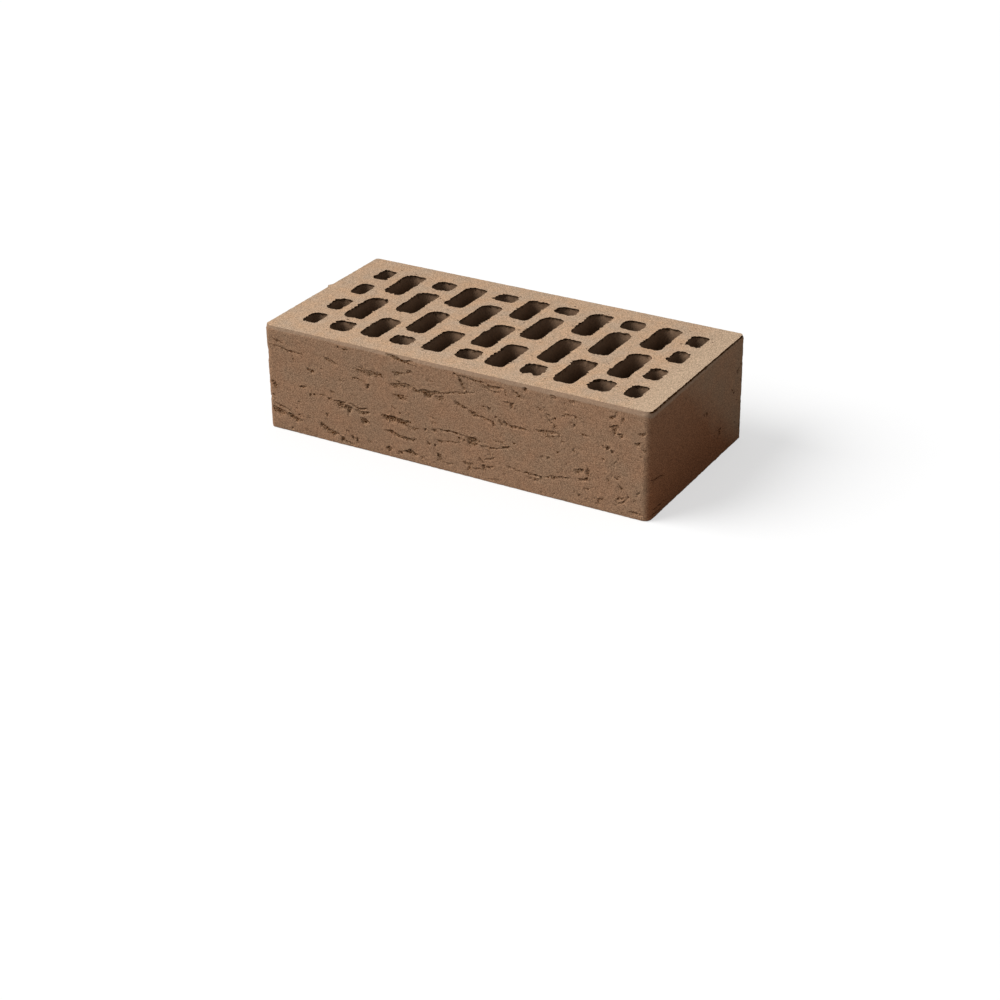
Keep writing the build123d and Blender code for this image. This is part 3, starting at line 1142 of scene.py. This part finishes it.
# The arris strip: the wire smeared the skin along the upper bed, so it is smoother and a little greyer
# there. It is also painted lighter, a painted highlight where the arris tips up to the lamp. The
# strip's lower edge wanders, and the strip is wider on the right end.
strip_and_highlight_colour = (0.367, 0.256, 0.178)
strip_share = 0.62
strip_wave = 1.6 * mm
wider_by = 1.1 * mm
strip_tilt = (0.004, -0.02, 1.0)
tilted_height = add_node(skin_tree, "VectorMath", operation="DOT_PRODUCT")
tilted_height.inputs[1].default_value = strip_tilt
wandering_edge = maths(skin_tree, "MULTIPLY_ADD", strip_wave)
wider_on_end = maths(skin_tree, "MULTIPLY_ADD", wider_by)
strip_edge = map_range(skin_tree, height - 0.6 * mm, height + 0.3 * mm)
# Greyer smeared clay and a painted highlight along the arris.
smear_and_highlight = maths(skin_tree, "MULTIPLY", strip_share)
calm = map_range(skin_tree, 0, 1, 1, 0.4)
calm_tone = maths(skin_tree, "MULTIPLY")
strip = colour_mix(skin_tree, (0, 0, 0), strip_and_highlight_colour)
join_nodes(
    skin_tree,
    (slow_noise, 0, wandering_edge, 0),
    (skin_place, "Object", tilted_height, 0),
    (tilted_height, "Value", wandering_edge, 2),
    (on_end, "Result", wider_on_end, 0),
    (wandering_edge, 0, wider_on_end, 2),
    (wider_on_end, 0, strip_edge, "Value"),
    (strip_edge, "Result", smear_and_highlight, 0),
    (smear_and_highlight, 0, strip, 0),
    (redder, 2, strip, 6),
    (strip, 2, skin_nodes["grained"], 0),
    (strip_edge, "Result", calm, "Value"),
    (skin_nodes["tone"], 0, calm_tone, 0),
    (calm, "Result", calm_tone, 1),
    (calm_tone, 0, skin_nodes["level"], 0),
)

# The finished brick: the beds are the flat faces at the two cut heights, the hole walls lie inside the
# field of holes, and all the other faces are skin.
field_room = 3 * mm
field_x = end_column_place + end_cell_width / 2 + field_room
field_y = hole_field / 2 + field_room
bed_room = 0.02 * mm
brick.data.materials.clear()
for coat in (skin_clay, bed_clay, core_clay):
    brick.data.materials.append(coat)
bpy.ops.object.shade_smooth_by_angle(angle=math.radians(50))
heights = read_points(brick.data, "co")[:, 2]
on_bed = np.minimum(np.abs(heights), np.abs(heights - height)) < bed_room
for face in brick.data.polygons:
    if all(on_bed[point] for point in face.vertices):
        face.material_index = 1
        face.use_smooth = False
    elif abs(face.center.x) < field_x and abs(face.center.y) < field_y:
        face.material_index = 2
    else:
        face.material_index = 0
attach(brick, "root")
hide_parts("clay_brick")

# The floor: a wide pale sheet just under the brick. It takes the shadow, and shows white to the camera.
# To every other ray it is a duller grey, so that it throws little light up at the brick.
floor_gap = 0.3 * mm
floor_colour = (0.42, 0.41, 0.40)
bpy.ops.object.select_all(action="DESELECT")
bpy.ops.mesh.primitive_plane_add(size=12, location=(0, 0, -floor_gap))
floor = bpy.context.object
floor.name = "floor"
paper = bpy.data.materials.new("pale_floor")
paper.use_nodes = True
floor_tree = paper.node_tree
floor_tree.nodes.remove(floor_tree.nodes["Principled BSDF"])
floor_rays = add_node(floor_tree, "LightPath")
matte = add_node(floor_tree, "BsdfDiffuse")
glow = add_node(floor_tree, "Emission", Strength=1.06)
glow.inputs["Color"].default_value = (1, 1, 1, 1)
whiter = colour_mix(floor_tree, floor_colour, (1, 1, 1))
glow_share = maths(floor_tree, "MULTIPLY", 0.55)
both = add_node(floor_tree, "MixShader")
join_nodes(
    floor_tree,
    (floor_rays, "Is Camera Ray", whiter, 0),
    (whiter, 2, matte, "Color"),
    (floor_rays, "Is Camera Ray", glow_share, 0),
    (glow_share, "Value", both, 0),
    (matte, "BSDF", both, 1),
    (glow, "Emission", both, 2),
    (both, "Shader", floor_tree.nodes["Material Output"], "Surface"),
)
floor.data.materials.append(paper)

# The light: one broad soft lamp far off above, to the left and in front, and an even pale room around,
# white to the camera and dimmer to the brick.
key_direction = Vector((0.62, 0.42, -0.67))
key = bpy.data.objects.new("key_lamp", bpy.data.lights.new("key_lamp", "SUN"))
key.data.energy = 3.2
key.data.angle = math.radians(45)
key.rotation_euler = key_direction.to_track_quat("-Z", "Y").to_euler()
bpy.context.scene.collection.objects.link(key)
world = bpy.data.worlds.new("pale_room")
world.use_nodes = True
bpy.context.scene.world = world
room_tree = world.node_tree
room = room_tree.nodes["Background"]
room.inputs["Color"].default_value = (1, 1, 1, 1)
room_rays = add_node(room_tree, "LightPath")
room_level = map_range(room_tree, 0, 1, 0.3, 1)
join_nodes(
    room_tree,
    (room_rays, "Is Camera Ray", room_level, "Value"),
    (room_level, "Result", room, "Strength"),
)
bpy.context.scene.view_settings.view_transform = "Standard"

# The camera: it looks down on the brick's upper bed, facing side and right end from the front right,
# through a long lens from a good metre away.
eye = Vector((0.5498, -0.9356, 0.5303))
azimuth = math.radians(30.579)
elevation = math.radians(27.967)
roll = math.radians(-0.84)
camera = bpy.data.objects.new("camera", bpy.data.cameras.new("camera"))
camera.data.sensor_width = 36
camera.data.lens = 73.979
turn = Matrix.Rotation(azimuth, 4, "Z") @ Matrix.Rotation(math.pi / 2 - elevation, 4, "X")
camera.matrix_world = Matrix.Translation(eye) @ turn @ Matrix.Rotation(roll, 4, "Z")
bpy.context.scene.collection.objects.link(camera)
bpy.context.scene.camera = camera
